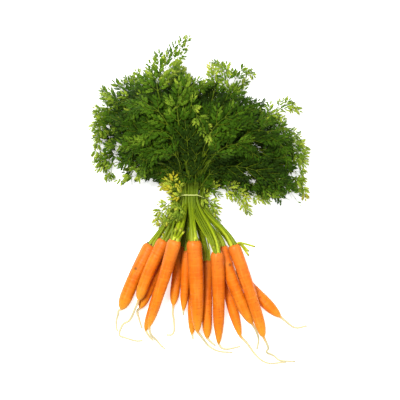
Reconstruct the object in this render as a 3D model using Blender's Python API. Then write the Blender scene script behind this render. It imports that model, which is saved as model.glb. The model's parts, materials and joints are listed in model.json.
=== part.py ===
"""A bunch of fifteen young carrots with their leaves on, lying on a table and held by one rubber band.

Metres, +Z up, +Y from the root tips towards the leaves. The origin is the flat spot under the middle carrot.
Each carrot is one solid with its long thin tap root. Its leaves, which grow from one crown, are another.
"""

import math
import random
from collections import namedtuple

import bmesh
import bpy
from mathutils import Vector

# Roots. Each lies along a straight line from the middle of its crown to its tip, bowed a little sideways.
ROOT_SIDES = 12
SHOULDER = 0.07  # share of the root over which the crown rounds off
CROWN_FLAT = 0.5  # radius of the flat on top, as a share of the root's radius
TAIL_SUNK = 0.008  # how deep the tap root starts inside the root's tip
TAIL_RADIUS = 0.0019
TAIL_END_RADIUS = 0.0006
TAIL_LANDING = 0.030  # a tap root that starts above the table comes down over this length
RING_STATIONS = (0.0, 0.02, 0.07, 0.26, 0.48, 0.68, 0.82, 0.92, 0.975, 1.0)

# The tie. All leaf stalks run side by side here, four to a carrot in a block two wide and two high.
TIE_X, TIE_Y, TIE_Z = -0.027, 0.146, 0.014
BLOCK_PITCH = 0.0084
STALK_PITCH = 0.0039
BAND_RADIUS = 0.0009
BAND_CLEARANCE = 0.0014
BAND_LEAN = 0.4  # the band leans back: this much further along Y for each metre of height
BAND_POINTS = 24

# Leaf stalks
CROWN_RING = 0.0036
STALK_RADII = (0.0022, 0.00185, 0.0011)  # at the crown, at the tie, and where the leaflets start
COLLAR_RADIUS = 0.0062
COLLAR_HEIGHT = 0.0045
TOUCH_GAP = 0.0003

# The spray of leaves. A stalk that leaves the tie turns to its own heading, which grows with its place across
# the bunch, and its height is a curve from the tie over a crest to the leaf's tip.
HALF_FAN = math.radians(125)
TURN_LENGTHS = (0.125, 0.070)  # at the middle of the fan and at its edges
CREST_LENGTH = 0.200
EASE = 0.15
# Per row of carrots, lowest first: number of tops, half-width and middle of the row's share of the fan, heights
# of the curve's middle handle and of its end, and the reach of its leaves as a share of the outline.
Row = namedtuple("Row", "tops half_fan middle crest end reach")
ROWS = (
    Row(7, 1.0, 0.0, 0.040, 0.007, 1.0),
    Row(5, 0.92, 0.06, 0.090, 0.026, 0.98),
    Row(3, 0.72, -0.09, 0.140, 0.056, 0.86),
)
# How far leaves reach from the tie, by place across the fan, from -1 on the left to 1 on the right.
OUTLINE = (
    (-1.0, 0.085),
    (-0.9, 0.110),
    (-0.8, 0.145),
    (-0.6, 0.187),
    (-0.4, 0.228),
    (-0.2, 0.232),
    (-0.11, 0.240),
    (-0.05, 0.266),
    (0.01, 0.218),
    (0.1, 0.230),
    (0.3, 0.208),
    (0.4, 0.226),
    (0.5, 0.222),
    (0.6, 0.208),
    (0.8, 0.202),
    (0.9, 0.170),
    (1.0, 0.140),
)
# The four leaves of one carrot: place across its slice of the fan, place up and down in its row, reach as a
# share of the outline, where its leaflets start and in how many pairs.
Leaf = namedtuple("Leaf", "across lift reach start pairs")
LEAVES = (
    Leaf(-0.45, 0.0045, 1.0, 0.062, 4),
    Leaf(0.42, 0.0015, 0.95, 0.056, 3),
    Leaf(0.5, -0.0045, 0.80, 0.045, 3),
    Leaf(-0.3, -0.0015, 0.68, 0.036, 2),
)
LIFT_LENGTH = 0.070
LEAF_HALF_WIDTH = 0.035
RIB_HALF_THICKNESS = (0.0014, 0.0008)
RIB_HALF_WIDTH = (0.0018, 0.0012)
PINNA_HALF_THICKNESS = 0.0007
SLICE_MARGIN = 0.0012  # what the leaves of one carrot keep from the edges of its slice

ROOT_ORANGE = (0.95, 0.27, 0.02, 1.0)
STALK_GREEN = (0.16, 0.30, 0.03, 1.0)
BAND_CREAM = (0.72, 0.74, 0.34, 1.0)

# row: 0 on the table, 1 and 2 on those below. Crown and tip are the ends of the root's middle line. Bow is how
# far its middle stands to the right of that line, seen from the crown. Taper is the share of its radius that it
# loses, and blunt the share of its length where the tip starts to round. Tail is the tap root's way from the
# tip on, over the table.
Carrot = namedtuple("Carrot", "row crown tip radius bow taper blunt tail")
CARROTS = (
    Carrot(0, (-0.0893, 0.0723, 0.0113), (-0.1364, -0.0298, 0.0097), 0.0116, 0.0021, 0.13, 0.80,
           ((-0.1412, -0.0325), (-0.1422, -0.039), (-0.145, -0.0486), (-0.1446, -0.061), (-0.1428, -0.0655))),
    Carrot(0, (-0.0638, 0.0659, 0.0092), (-0.1066, -0.0283, 0.0072), 0.0095, 0.0, 0.2, 0.82,
           ((-0.1112, -0.0336), (-0.108, -0.0485), (-0.104, -0.061))),
    Carrot(0, (-0.0415, 0.0706, 0.0092), (-0.0537, -0.0236, 0.0070), 0.0095, 0.0, 0.25, 0.76,
           ((-0.0549, -0.0358), (-0.0531, -0.0485), (-0.0526, -0.0645), (-0.0571, -0.0714),
            (-0.0651, -0.0714))),
    Carrot(0, (-0.0208, 0.0611, 0.0092), (-0.024, -0.0699, 0.0065), 0.0095, 0.0, 0.3, 0.74,
           ((-0.0225, -0.078),)),
    Carrot(0, (-0.0008, 0.0483, 0.0092), (0.0003, -0.0762, 0.0078), 0.0095, 0.0, 0.15, 0.76,
           ((0.0065, -0.083), (0.0135, -0.0885))),
    Carrot(0, (0.0199, 0.0595, 0.0097), (0.0531, -0.073, 0.0070), 0.010, 0.001, 0.28, 0.68,
           ((0.0635, -0.0843), (0.0701, -0.0936), (0.0773, -0.1029), (0.0875, -0.1123), (0.1008, -0.117),
            (0.126, -0.1149))),
    Carrot(0, (0.051, 0.0204, 0.0097), (0.1164, -0.0418, 0.0088), 0.010, 0.0, 0.1, 0.66,
           ((0.1275, -0.0509), (0.1355, -0.0576), (0.1448, -0.0603), (0.1595, -0.057))),
    Carrot(1, (-0.0674, 0.0806, 0.0298), (-0.1084, -0.014, 0.0222), 0.0105, 0.0027, 0.2, 0.82,
           ((-0.1126, -0.0246), (-0.1234, -0.0474), (-0.1349, -0.0554), (-0.1402, -0.0714), (-0.1314, -0.0758),
            (-0.1142, -0.081), (-0.1029, -0.0805))),
    Carrot(1, (-0.0619, 0.0441, 0.0268), (-0.0981, -0.0637, 0.0038), 0.0090, 0.0, 0.28, 0.80,
           ((-0.0926, -0.0736), (-0.0858, -0.0805))),
    Carrot(1, (-0.031, 0.0647, 0.0262), (-0.0376, -0.0311, 0.0152), 0.0085, 0.0, 0.3, 0.72,
           ((-0.038, -0.040),)),
    Carrot(1, (0.0228, 0.0712, 0.0328), (0.0714, -0.0522, 0.0210), 0.0108, 0.0045, 0.14, 0.72,
           ((0.0781, -0.0643), (0.0821, -0.0776), (0.0812, -0.0875), (0.0795, -0.0945))),
    Carrot(1, (0.0408, 0.0738, 0.0445), (0.0892, -0.0726, 0.0275), 0.0102, -0.002, 0.20, 0.82,
           ((0.0955, -0.0856), (0.0974, -0.0923), (0.0949, -0.0989), (0.1061, -0.1043), (0.1168, -0.1123),
            (0.1408, -0.114))),
    Carrot(2, (-0.0497, 0.082, 0.0568), (-0.0919, -0.057, 0.0210), 0.0110, 0.0, 0.42, 0.74,
           ((-0.0894, -0.0702), (-0.0811, -0.0794), (-0.0742, -0.0878), (-0.0672, -0.0944))),
    Carrot(2, (-0.021, 0.081, 0.0483), (-0.0153, -0.0651, 0.0182), 0.0124, -0.0013, 0.24, 0.68,
           ((-0.007, -0.0765), (0.001, -0.0875), (0.0105, -0.0945), (0.0225, -0.0985), (0.041, -0.0995))),
    Carrot(2, (0.0153, 0.0631, 0.0550), (0.0185, -0.0849, 0.0026), 0.0106, -0.0014, 0.2, 0.62,
           ((0.0235, -0.0923), (0.0328, -0.0942), (0.0528, -0.090))),
)
# Stalks that were cut short, by the number of their carrot: metres to the right of its crown, out along the
# stalks and up, at the bend and at the cut.
CUT_STALKS = {
    12: (
        ((0.0135, 0.0025, -0.001), (0.0316, -0.0159, -0.004)),
        ((0.0125, 0.0015, -0.003), (0.0195, -0.0195, -0.006)),
        ((0.0120, 0.0010, -0.005), (0.0172, -0.0263, -0.010)),
    ),
}
CUT_STALK_RADIUS = 0.0013
# Stalks that first head another way than out of their crown, to clear the root beside it.
FIRST_HEADINGS = {7: Vector((0.0, 1.45, 0.0))}


def clear_scene():
    for obj in list(bpy.data.objects):
        bpy.data.objects.remove(obj, do_unlink=True)


def make_material(name, color, roughness):
    material = bpy.data.materials.new(name)
    material.use_nodes = True
    shader = material.node_tree.nodes["Principled BSDF"]
    shader.inputs["Base Color"].default_value = color
    shader.inputs["Roughness"].default_value = roughness
    shader.inputs["Metallic"].default_value = 0.0
    return material


def mix(low, high, share):
    return low + (high - low) * share


def add_object(name, mesh, collection, material=None):
    obj = bpy.data.objects.new(name, mesh)
    collection.objects.link(obj)
    if material:
        mesh.materials.clear()
        mesh.materials.append(material)
    return obj


def tube_mesh(name, points, radii, resolution, tilt=0.0, cyclic=False):
    """A closed tube through points, made as a curve with a bevel and turned into a welded mesh."""
    curve = bpy.data.curves.new(name, "CURVE")
    curve.dimensions = "3D"
    curve.twist_mode = "Z_UP"
    curve.bevel_depth = 1.0
    curve.bevel_resolution = resolution
    curve.use_fill_caps = True
    spline = curve.splines.new("POLY")
    spline.points.add(len(points) - 1)
    for control, point, radius in zip(spline.points, points, radii):
        control.co = (*point, 1.0)
        control.radius = radius
        control.tilt = tilt
    spline.use_cyclic_u = cyclic
    guide = bpy.data.objects.new(name, curve)
    bpy.context.scene.collection.objects.link(guide)
    graph = bpy.context.evaluated_depsgraph_get()
    mesh = bpy.data.meshes.new_from_object(guide.evaluated_get(graph))
    bpy.data.objects.remove(guide)
    shape = bmesh.new()
    shape.from_mesh(mesh)
    bmesh.ops.remove_doubles(shape, verts=shape.verts, dist=0.00001)
    bmesh.ops.recalc_face_normals(shape, faces=shape.faces)
    shape.to_mesh(mesh)
    shape.free()
    return mesh


def keep_largest_shell(mesh):
    """Removes the small sealed pockets that a union of thin pieces can leave inside."""
    shape = bmesh.new()
    shape.from_mesh(mesh)
    left = set(shape.verts)
    shells = []
    while left:
        shell, edge_of_shell = set(), {left.pop()}
        while edge_of_shell:
            shell |= edge_of_shell
            edge_of_shell = {edge.other_vert(v) for v in edge_of_shell for edge in v.link_edges} - shell
        left -= shell
        shells.append(shell)
    largest = max(shells, key=len)
    pockets = [v for shell in shells if shell is not largest for v in shell]
    bmesh.ops.delete(shape, geom=pockets, context="VERTS")
    shape.to_mesh(mesh)
    shape.free()


def union(name, meshes, collection, material):
    """One object of several overlapping closed meshes."""
    first, *others = meshes
    obj = add_object(name, first, collection, material)
    joined = bpy.data.collections.new(name + "_pieces")
    bpy.context.scene.collection.children.link(joined)
    for index, mesh in enumerate(others):
        add_object(f"{name}_piece_{index}", mesh, joined)
    join = obj.modifiers.new("join", "BOOLEAN")
    join.operation = "UNION"
    join.operand_type = "COLLECTION"
    join.collection = joined
    join.solver = "MANIFOLD"
    graph = bpy.context.evaluated_depsgraph_get()
    whole = bpy.data.meshes.new_from_object(obj.evaluated_get(graph))
    whole.name = name
    keep_largest_shell(whole)
    obj.modifiers.clear()
    obj.data = whole
    whole.materials.clear()
    whole.materials.append(material)
    for piece in list(joined.objects):
        bpy.data.objects.remove(piece)
    bpy.data.collections.remove(joined)
    return obj


def root_radius(carrot, share):
    """The root's radius at a share of its length: a rounded shoulder, a slow taper and a rounded tip."""
    shoulder = 1.0
    if share < SHOULDER:
        inward = 1 - share / SHOULDER
        shoulder = CROWN_FLAT + (1 - CROWN_FLAT) * math.sqrt(1 - inward**2)
    body = 1 - carrot.taper * share**1.4
    past = max(0.0, (share - carrot.blunt) / (1.01 - carrot.blunt))
    return max(TAIL_RADIUS, carrot.radius * shoulder * body * math.sqrt(1 - past**2))


def root_point(carrot, share):
    """A point on the root's middle line."""
    crown, tip = Vector(carrot.crown), Vector(carrot.tip)
    along = tip - crown
    right = Vector((along.y, -along.x, 0)).normalized()
    return crown + along * share + right * carrot.bow * 4 * share * (1 - share)


def tail_path(carrot):
    """Points of the tap root, from inside the tip down to the table and along it."""
    start = root_point(carrot, 1.0)
    inside = root_point(carrot, 1.0 - TAIL_SUNK / (Vector(carrot.tip) - Vector(carrot.crown)).length)
    points = [inside, start]
    travelled = 0.0
    for x, y in carrot.tail:
        travelled += math.dist((x, y), points[-1][:2])
        fall = min(1.0, travelled / max(TAIL_LANDING, start.z * 1.6))
        ease = fall * fall * (3 - 2 * fall)
        points.append(Vector((x, y, mix(start.z, TAIL_RADIUS, ease))))
    return points


def make_root(index, carrot, collection, material):
    name = f"carrot_{index:02d}"
    points = [root_point(carrot, share) for share in RING_STATIONS]
    radii = [root_radius(carrot, share) for share in RING_STATIONS]
    facet_down = math.pi / ROOT_SIDES
    body = tube_mesh(name, points, radii, ROOT_SIDES // 2 - 2, tilt=facet_down)
    route = tail_path(carrot)
    widths = [mix(TAIL_RADIUS * 1.1, TAIL_END_RADIUS, i / (len(route) - 1)) for i in range(len(route))]
    tail = tube_mesh(name + "_tail", route, widths, 0)
    root = union(name, [body, tail], collection, material)
    for vertex in root.data.vertices:
        vertex.co.z = max(0.0, vertex.co.z)  # the underside is pressed flat where it meets the table
    return root


def outline_reach(place):
    for (left, near), (right, far) in zip(OUTLINE, OUTLINE[1:]):
        if place <= right:
            return mix(near, far, (place - left) / (right - left))
    return OUTLINE[-1][1]


def stream(place, distance, start):
    """Plan of a stalk that leaves the tie at start, distance further on, at this place across the fan."""
    heading = HALF_FAN * place
    turn_length = mix(*TURN_LENGTHS, abs(place))
    turning = min(distance, turn_length)
    straight = distance - turning
    if abs(heading) < 0.001:
        x, y = 0.0, turning
    else:
        bend = turn_length / heading
        x = bend * (1 - math.cos(turning / bend))
        y = bend * math.sin(turning / bend)
    x += straight * math.sin(heading)
    y += straight * math.cos(heading)
    return start.x + x, start.y + y


def stream_height(row, base, distance):
    """Height of a row's leaves, on a curve that leaves the tie level."""
    share = distance / CREST_LENGTH
    eased = (1 + EASE) * share**2 / (share + EASE)
    return base * (1 - eased) ** 2 + 2 * row.crest * eased * (1 - eased) + row.end * eased**2


class Top:
    """Where the leaves of one carrot grow: its crown, its block at the tie, and the slice of its row's fan that
    they keep to."""

    def __init__(self, index, carrot, order):
        self.row = ROWS[carrot.row]
        self.half = self.row.half_fan / self.row.tops
        self.middle = self.row.middle + (2 * order + 1 - self.row.tops) * self.half
        self.x = TIE_X + (order - (self.row.tops - 1) / 2) * BLOCK_PITCH
        self.z = TIE_Z + carrot.row * BLOCK_PITCH
        self.crown = Vector(carrot.crown)
        self.out = (root_point(carrot, 0.0) - root_point(carrot, 0.1)).normalized()
        self.side = self.out.cross(Vector((0, 0, 1))).normalized()
        self.up = self.side.cross(self.out)
        self.first_heading = FIRST_HEADINGS.get(index, self.out)
        self.collar_radius = min(COLLAR_RADIUS, carrot.radius * 0.6)

    def crown_point(self, right, along, above):
        return self.crown + self.side * right + self.out * along + self.up * above

    def tie_slot(self, leaf_index):
        """Where one stalk passes the tie, in the block of two by two."""
        right = -1 if leaf_index in (0, 3) else 1
        above = 1 if leaf_index in (0, 1) else -1
        z = self.z + STALK_PITCH * above / 2
        lean = (z - TIE_Z - BLOCK_PITCH) * BAND_LEAN
        return Vector((self.x + STALK_PITCH * right / 2, TIE_Y + lean, z)), right, above

    def spread(self, place, distance):
        """Metres of width for one unit of place, at this distance from the tie."""
        step = 0.01
        slot = Vector((0, 0, 0))
        near = stream(place - step, distance, slot)
        far = stream(place + step, distance, slot)
        return math.dist(near, far) / (2 * step) + self.row.tops * BLOCK_PITCH / 2

    def point(self, place, distance, slot, lift):
        """A point of the spray, kept inside the slice."""
        limit = max(0.0, self.half - SLICE_MARGIN / self.spread(place, distance))
        kept = min(max(place, self.middle - limit), self.middle + limit)
        height = stream_height(self.row, slot.z, distance) + lift * min(1.0, distance / LIFT_LENGTH) ** 2
        return Vector((*stream(kept, distance, slot), height))


def hermite(start, end, start_slope, end_slope, share):
    a = 2 * share**3 - 3 * share**2 + 1
    b = share**3 - 2 * share**2 + share
    c = -2 * share**3 + 3 * share**2
    d = share**3 - share**2
    return start * a + start_slope * b + end * c + end_slope * d


def stalk_route(top, leaf_index, place):
    """Middle line and radius of one leaf stalk, from the crown through the tie to its first leaflets."""
    leaf = LEAVES[leaf_index]
    slot, right, above = top.tie_slot(leaf_index)
    ring = CROWN_RING / math.sqrt(2)
    start = top.crown_point(right * ring, TOUCH_GAP + COLLAR_HEIGHT * 0.4, above * ring)
    reach = (slot - start).length * 0.9
    crown_radius, tie_radius, leaf_radius = STALK_RADII
    route = []
    for share in (0, 0.24, 0.6, 1):
        point = hermite(start, slot, top.first_heading * reach, Vector((0, reach, 0)), share)
        route.append((point, mix(crown_radius, tie_radius, share)))
    for share in (0.36, 0.7):
        point = top.point(mix(top.middle, place, share), leaf.start * share, slot, leaf.lift)
        route.append((point, mix(tie_radius, leaf_radius, share)))
    return route


def leaf_mesh(name, top, leaf_index, place, reach):
    """One leaf: a stalk that flows into a rib with pairs of three-lobed leaflets, thin at every edge."""
    leaf = LEAVES[leaf_index]
    slot, _, _ = top.tie_slot(leaf_index)
    pairs = leaf.pairs
    length = reach - leaf.start
    stations = [leaf.start + length * 0.84 * i / pairs for i in range(pairs + 1)]
    shape = bmesh.new()

    def vertex(distance, across, rise=0.0):
        """A vertex this far along the rib, metres to its side and metres above or below the blade's middle."""
        point = top.point(place + across / top.spread(place, distance), distance, slot, leaf.lift)
        droop = 1.2 * across**2
        point.z = max(point.z - droop, 1.2 * abs(rise)) + rise
        return shape.verts.new(point)

    def loft(first, second):
        for i in range(4):
            a, b, c, d = first[i], first[(i + 1) % 4], second[(i + 1) % 4], second[i]
            shape.faces.new((a, b, c))
            shape.faces.new((a, c, d))

    def lobed(edge, middle):
        """Both faces of a leaflet, fanned round its middle. An edge point is a vertex, or one for each face."""
        for face, centre in enumerate(middle):
            loop = [point[face] if isinstance(point, tuple) else point for point in edge]
            for a, b in zip(loop, loop[1:] + loop[:1]):
                shape.faces.new((centre, a, b) if face == 0 else (centre, b, a))

    ribs = []
    notches = {1: [], -1: []}
    for i, distance in enumerate(stations):
        thick = mix(*RIB_HALF_THICKNESS, i / pairs)
        ribs.append((vertex(distance, 0, thick), vertex(distance, 0, -thick)))
        for side in (1, -1):
            notches[side].append(vertex(distance, side * mix(*RIB_HALF_WIDTH, i / pairs)))

    route = stalk_route(top, leaf_index, place)
    points = [point for point, _ in route] + [top.point(place, leaf.start, slot, leaf.lift)]
    rings = []
    for i, (point, radius) in enumerate(route):
        along = (points[i + 1] - points[max(i - 1, 0)]).normalized()
        right = along.cross(Vector((0, 0, 1))).normalized()
        up = right.cross(along)
        rings.append([shape.verts.new(point + way * radius) for way in (up, right, -up, -right)])
    rings.append([ribs[0][0], notches[1][0], ribs[0][1], notches[-1][0]])
    for first, second in zip(rings, rings[1:]):
        loft(first, second)
    over, right, under, left = rings[0]
    shape.faces.new((over, left, under))
    shape.faces.new((over, under, right))

    for side in (1, -1):
        for i in range(pairs):
            near, far = stations[i], stations[i + 1]
            middle, step = (near + far) / 2, far - near
            share = (middle - leaf.start) / length
            wide = LEAF_HALF_WIDTH * (0.6 + 1.2 * share - 1.3 * share**2)
            outline = [
                vertex(near + 0.24 * step, side * 0.62 * wide),
                vertex(middle + 0.10 * step, side * 0.66 * wide),
                vertex(middle + 0.40 * wide, side * wide),
                vertex(middle + 0.46 * step, side * 0.62 * wide),
                vertex(far + 0.06 * step, side * 0.50 * wide),
            ]
            centre = (middle + 0.04 * step, side * 0.36 * wide)
            raised = [vertex(*centre, PINNA_HALF_THICKNESS * up) for up in (1, -1)]
            edge = [ribs[i], notches[side][i], *outline, notches[side][i + 1], ribs[i + 1]]
            lobed(edge if side < 0 else edge[::-1], raised)

    end, wide = stations[-1], LEAF_HALF_WIDTH * 0.45
    rest = reach - end
    lobes = ((0.45, 0.9), (0.55, 0.35), (1.0, 0.0), (0.55, -0.35), (0.45, -0.9))
    outline = [vertex(end + rest * along, wide * across) for along, across in lobes]
    raised = [vertex(end + rest * 0.35, 0, PINNA_HALF_THICKNESS * up) for up in (1, -1)]
    lobed([notches[1][-1], *outline, notches[-1][-1], ribs[-1]], raised)
    bmesh.ops.recalc_face_normals(shape, faces=shape.faces)
    mesh = bpy.data.meshes.new(name)
    shape.to_mesh(mesh)
    shape.free()
    return mesh


def make_top(index, top, collection, material):
    """All the leaves of one carrot, joined at its crown by a collar of leaf bases."""
    name = f"top_{index:02d}"
    draw = random.Random(index)
    ends = [top.crown_point(0, TOUCH_GAP + COLLAR_HEIGHT * share, 0) for share in (0, 1)]
    meshes = [tube_mesh(name, ends, [top.collar_radius] * 2, 2)]
    for leaf_index, leaf in enumerate(LEAVES):
        place = top.middle + top.half * (leaf.across + draw.uniform(-0.12, 0.12))
        reach = outline_reach(place) * leaf.reach * top.row.reach * draw.uniform(0.97, 1.02)
        meshes.append(leaf_mesh(f"{name}_leaf_{leaf_index}", top, leaf_index, place, reach))
    for bend, cut in CUT_STALKS.get(index, ()):
        route = [top.crown_point(0, TOUCH_GAP + COLLAR_HEIGHT * 0.6, bend[2])]
        route += [top.crown_point(*bend), top.crown_point(*cut)]
        meshes.append(tube_mesh(f"{name}_cut", route, [CUT_STALK_RADIUS] * 3, 0))
    return union(name, meshes, collection, material)


def make_band(tops, collection, material):
    """A rubber band stretched round the outermost stalks."""
    slots = [top.tie_slot(leaf_index)[0] for top in tops for leaf_index in range(len(LEAVES))]
    away = STALK_RADII[1] + BAND_CLEARANCE + BAND_RADIUS
    points = []
    for step in range(BAND_POINTS):
        angle = 2 * math.pi * (step + 0.5) / BAND_POINTS
        out = Vector((math.cos(angle), math.sin(angle) * BAND_LEAN, math.sin(angle)))
        outermost = max(slots, key=lambda slot: slot.dot(out))
        points.append(outermost + out * away)
    band = tube_mesh("rubber_band", points, [BAND_RADIUS] * BAND_POINTS, 1, cyclic=True)
    return add_object("rubber_band", band, collection, material)


def main():
    clear_scene()
    bunch = bpy.data.collections.new("carrot_bunch")
    bpy.context.scene.collection.children.link(bunch)
    orange = make_material("carrot_root", ROOT_ORANGE, 0.45)
    green = make_material("carrot_leaf", STALK_GREEN, 0.55)
    cream = make_material("rubber_band", BAND_CREAM, 0.5)
    tops = []
    placed = [0 for _ in ROWS]
    for index, carrot in enumerate(CARROTS, start=1):
        make_root(index, carrot, bunch, orange)
        top = Top(index, carrot, placed[carrot.row])
        make_top(index, top, bunch, green)
        tops.append(top)
        placed[carrot.row] += 1
    make_band(tops, bunch, cream)


main()
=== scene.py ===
"""A tied bunch of fifteen young carrots with their leaves on, lying on a pale table and seen from above."""

import json
import random
from collections import namedtuple
from math import atan2, cos, dist, exp, pi, radians, sin, sqrt

import bpy
from mathutils import Matrix, Vector

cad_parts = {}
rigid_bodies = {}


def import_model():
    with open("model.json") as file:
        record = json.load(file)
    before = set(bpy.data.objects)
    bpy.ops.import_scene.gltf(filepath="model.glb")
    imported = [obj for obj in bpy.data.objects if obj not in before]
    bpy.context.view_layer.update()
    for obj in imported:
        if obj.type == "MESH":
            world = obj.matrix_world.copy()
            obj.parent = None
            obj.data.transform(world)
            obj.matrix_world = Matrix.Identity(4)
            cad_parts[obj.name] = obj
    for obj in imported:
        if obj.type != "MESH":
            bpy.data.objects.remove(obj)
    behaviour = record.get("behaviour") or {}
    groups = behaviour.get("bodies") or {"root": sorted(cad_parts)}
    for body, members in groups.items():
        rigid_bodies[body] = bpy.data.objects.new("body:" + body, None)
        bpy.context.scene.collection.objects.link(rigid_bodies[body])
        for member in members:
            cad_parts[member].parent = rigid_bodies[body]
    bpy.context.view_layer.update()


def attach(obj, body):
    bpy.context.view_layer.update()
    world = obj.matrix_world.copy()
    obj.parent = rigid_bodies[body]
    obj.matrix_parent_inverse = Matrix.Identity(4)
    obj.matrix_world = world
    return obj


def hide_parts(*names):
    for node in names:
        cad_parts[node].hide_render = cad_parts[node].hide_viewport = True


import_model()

# Roots
# Each carrot is a swollen tap root with a thin satin skin, ringed by faint growth lines and short root scars.
# It narrows to a rounded tip that runs out into a fine pale root. The lowest ones lie on the table.
ROOT_SIDES = 32
SHOULDER = 0.07  # share of the root over which the crown rounds off
CROWN_FLAT = 0.5  # share of the radius
CROWN_DIMPLE = ((0.12, 0.0016), (0.26, 0.0012), (0.4, 0.0003))  # rings in the flat: share of radius, depth
SHOULDER_RINGS, BODY_RINGS, TIP_RINGS = 9, 64, 26
TAPER_POWER = 1.4
ROUND_END = 1.01  # the rounding of the tip would close here, just past it
ROOT_LUMPS = 6
GROWTH_LINES = 34
TIP_RADIUS = 0.0022
TAIL_END_RADIUS = 0.0013
TAIL_LANDING = 0.03  # a fine root comes down to the table over this length,
TAIL_SLOPE = 1.6  # or over this many times its height
TAIL_STEPS = 6
TABLE_CLEARANCE = 0.0002
UP = Vector((0, 0, 1))

# Row in the pile, middles of the crown and the tip, radius, sideways bow, share of the radius lost by the
# tip, place where the tip starts to round off, and plan of the fine root.
Carrot = namedtuple("Carrot", "row crown tip radius bow taper blunt tail")
CARROTS = [Carrot(*values) for values in (
    (0, (-0.0893, 0.0723, 0.0113), (-0.1364, -0.0298, 0.0097), 0.0116, 0.0021, 0.13, 0.8,
     ((-0.1412, -0.0325), (-0.1422, -0.039), (-0.145, -0.0486), (-0.1446, -0.061), (-0.1428, -0.0655))),
    (0, (-0.0638, 0.0659, 0.0092), (-0.1066, -0.0283, 0.0072), 0.0095, 0.0, 0.2, 0.82,
     ((-0.1112, -0.0336), (-0.108, -0.0485), (-0.104, -0.061))),
    (0, (-0.0415, 0.0706, 0.0092), (-0.0537, -0.0236, 0.007), 0.0095, 0.0, 0.25, 0.76,
     ((-0.0549, -0.0358), (-0.0531, -0.0485), (-0.0526, -0.0645), (-0.0571, -0.0714),
      (-0.0651, -0.0714))),
    (0, (-0.0208, 0.0611, 0.0092), (-0.024, -0.0699, 0.0065), 0.0095, 0.0, 0.3, 0.74,
     ((-0.0225, -0.078),)),
    (0, (-0.0008, 0.0483, 0.0092), (0.0003, -0.0762, 0.0078), 0.0095, 0.0, 0.15, 0.76,
     ((0.0065, -0.083), (0.0135, -0.0885))),
    (0, (0.0199, 0.0595, 0.0097), (0.0531, -0.073, 0.007), 0.01, 0.001, 0.28, 0.68,
     ((0.0635, -0.0843), (0.0701, -0.0936), (0.0773, -0.1029), (0.0875, -0.1123), (0.1008, -0.117),
      (0.126, -0.1149))),
    (0, (0.051, 0.0204, 0.0097), (0.1164, -0.0418, 0.0088), 0.01, 0.0, 0.1, 0.66,
     ((0.1275, -0.0509), (0.1355, -0.0576), (0.1448, -0.0603), (0.1595, -0.057))),
    (1, (-0.0674, 0.0806, 0.0298), (-0.1084, -0.014, 0.0222), 0.0105, 0.0027, 0.2, 0.82,
     ((-0.1126, -0.0246), (-0.1234, -0.0474), (-0.1349, -0.0554), (-0.1402, -0.0714),
      (-0.1314, -0.0758), (-0.1142, -0.081), (-0.1029, -0.0805))),
    (1, (-0.0619, 0.0441, 0.0268), (-0.0981, -0.0637, 0.0038), 0.009, 0.0, 0.28, 0.8,
     ((-0.0926, -0.0736), (-0.0858, -0.0805))),
    (1, (-0.031, 0.0647, 0.0262), (-0.0376, -0.0311, 0.0152), 0.0085, 0.0, 0.3, 0.72,
     ((-0.038, -0.04),)),
    (1, (0.0228, 0.0712, 0.0328), (0.0714, -0.0522, 0.021), 0.0108, 0.0045, 0.14, 0.72,
     ((0.0781, -0.0643), (0.0821, -0.0776), (0.0812, -0.0875), (0.0795, -0.0945))),
    (1, (0.0408, 0.0738, 0.0445), (0.0892, -0.0726, 0.0275), 0.0102, -0.002, 0.2, 0.82,
     ((0.0955, -0.0856), (0.0974, -0.0923), (0.0949, -0.0989), (0.1061, -0.1043), (0.1168, -0.1123),
      (0.1408, -0.114))),
    (2, (-0.0497, 0.082, 0.0568), (-0.0919, -0.057, 0.021), 0.011, 0.0, 0.42, 0.74,
     ((-0.0894, -0.0702), (-0.0811, -0.0794), (-0.0742, -0.0878), (-0.0672, -0.0944))),
    (2, (-0.021, 0.081, 0.0483), (-0.0153, -0.0651, 0.0182), 0.0124, -0.0013, 0.24, 0.68,
     ((-0.007, -0.0765), (0.001, -0.0875), (0.0105, -0.0945), (0.0225, -0.0985), (0.041, -0.0995))),
    (2, (0.0153, 0.0631, 0.055), (0.0185, -0.0849, 0.0026), 0.0106, -0.0014, 0.2, 0.62,
     ((0.0235, -0.0923), (0.0328, -0.0942), (0.0528, -0.09))),
)]


def mix(low, high, share):
    return low + (high - low) * share


def clamp(value, low, high):
    return min(max(value, low), high)


def shares_of(steps):
    return [i / steps for i in range(steps + 1)]


def root_radius(carrot, share):
    shoulder = 1.0
    if share < SHOULDER:
        inward = 1 - share / SHOULDER
        shoulder = CROWN_FLAT + (1 - CROWN_FLAT) * sqrt(1 - inward**2)
    body = 1 - carrot.taper * share**TAPER_POWER
    past = max(0.0, (share - carrot.blunt) / (ROUND_END - carrot.blunt))
    return max(TIP_RADIUS, carrot.radius * shoulder * body * sqrt(1 - past**2))


def root_point(carrot, share):
    crown, tip = Vector(carrot.crown), Vector(carrot.tip)
    along = tip - crown
    right = Vector((along.y, -along.x, 0)).normalized()
    return crown + along * share + right * carrot.bow * 4 * share * (1 - share)


def smooth_route(points, steps):
    """Points on a smooth curve through the given ones, this many to each stretch."""
    ends = [points[0] * 2 - points[1], *points, points[-1] * 2 - points[-2]]
    route = []
    for a, b, c, d in zip(ends, ends[1:], ends[2:], ends[3:]):
        for step in range(steps):
            t = step / steps
            route.append((b * 2 + (c - a) * t + (a * 2 - b * 5 + c * 4 - d) * t**2
                          + (b * 3 - a - c * 3 + d) * t**3) * 0.5)
    return route + [points[-1]]


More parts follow.
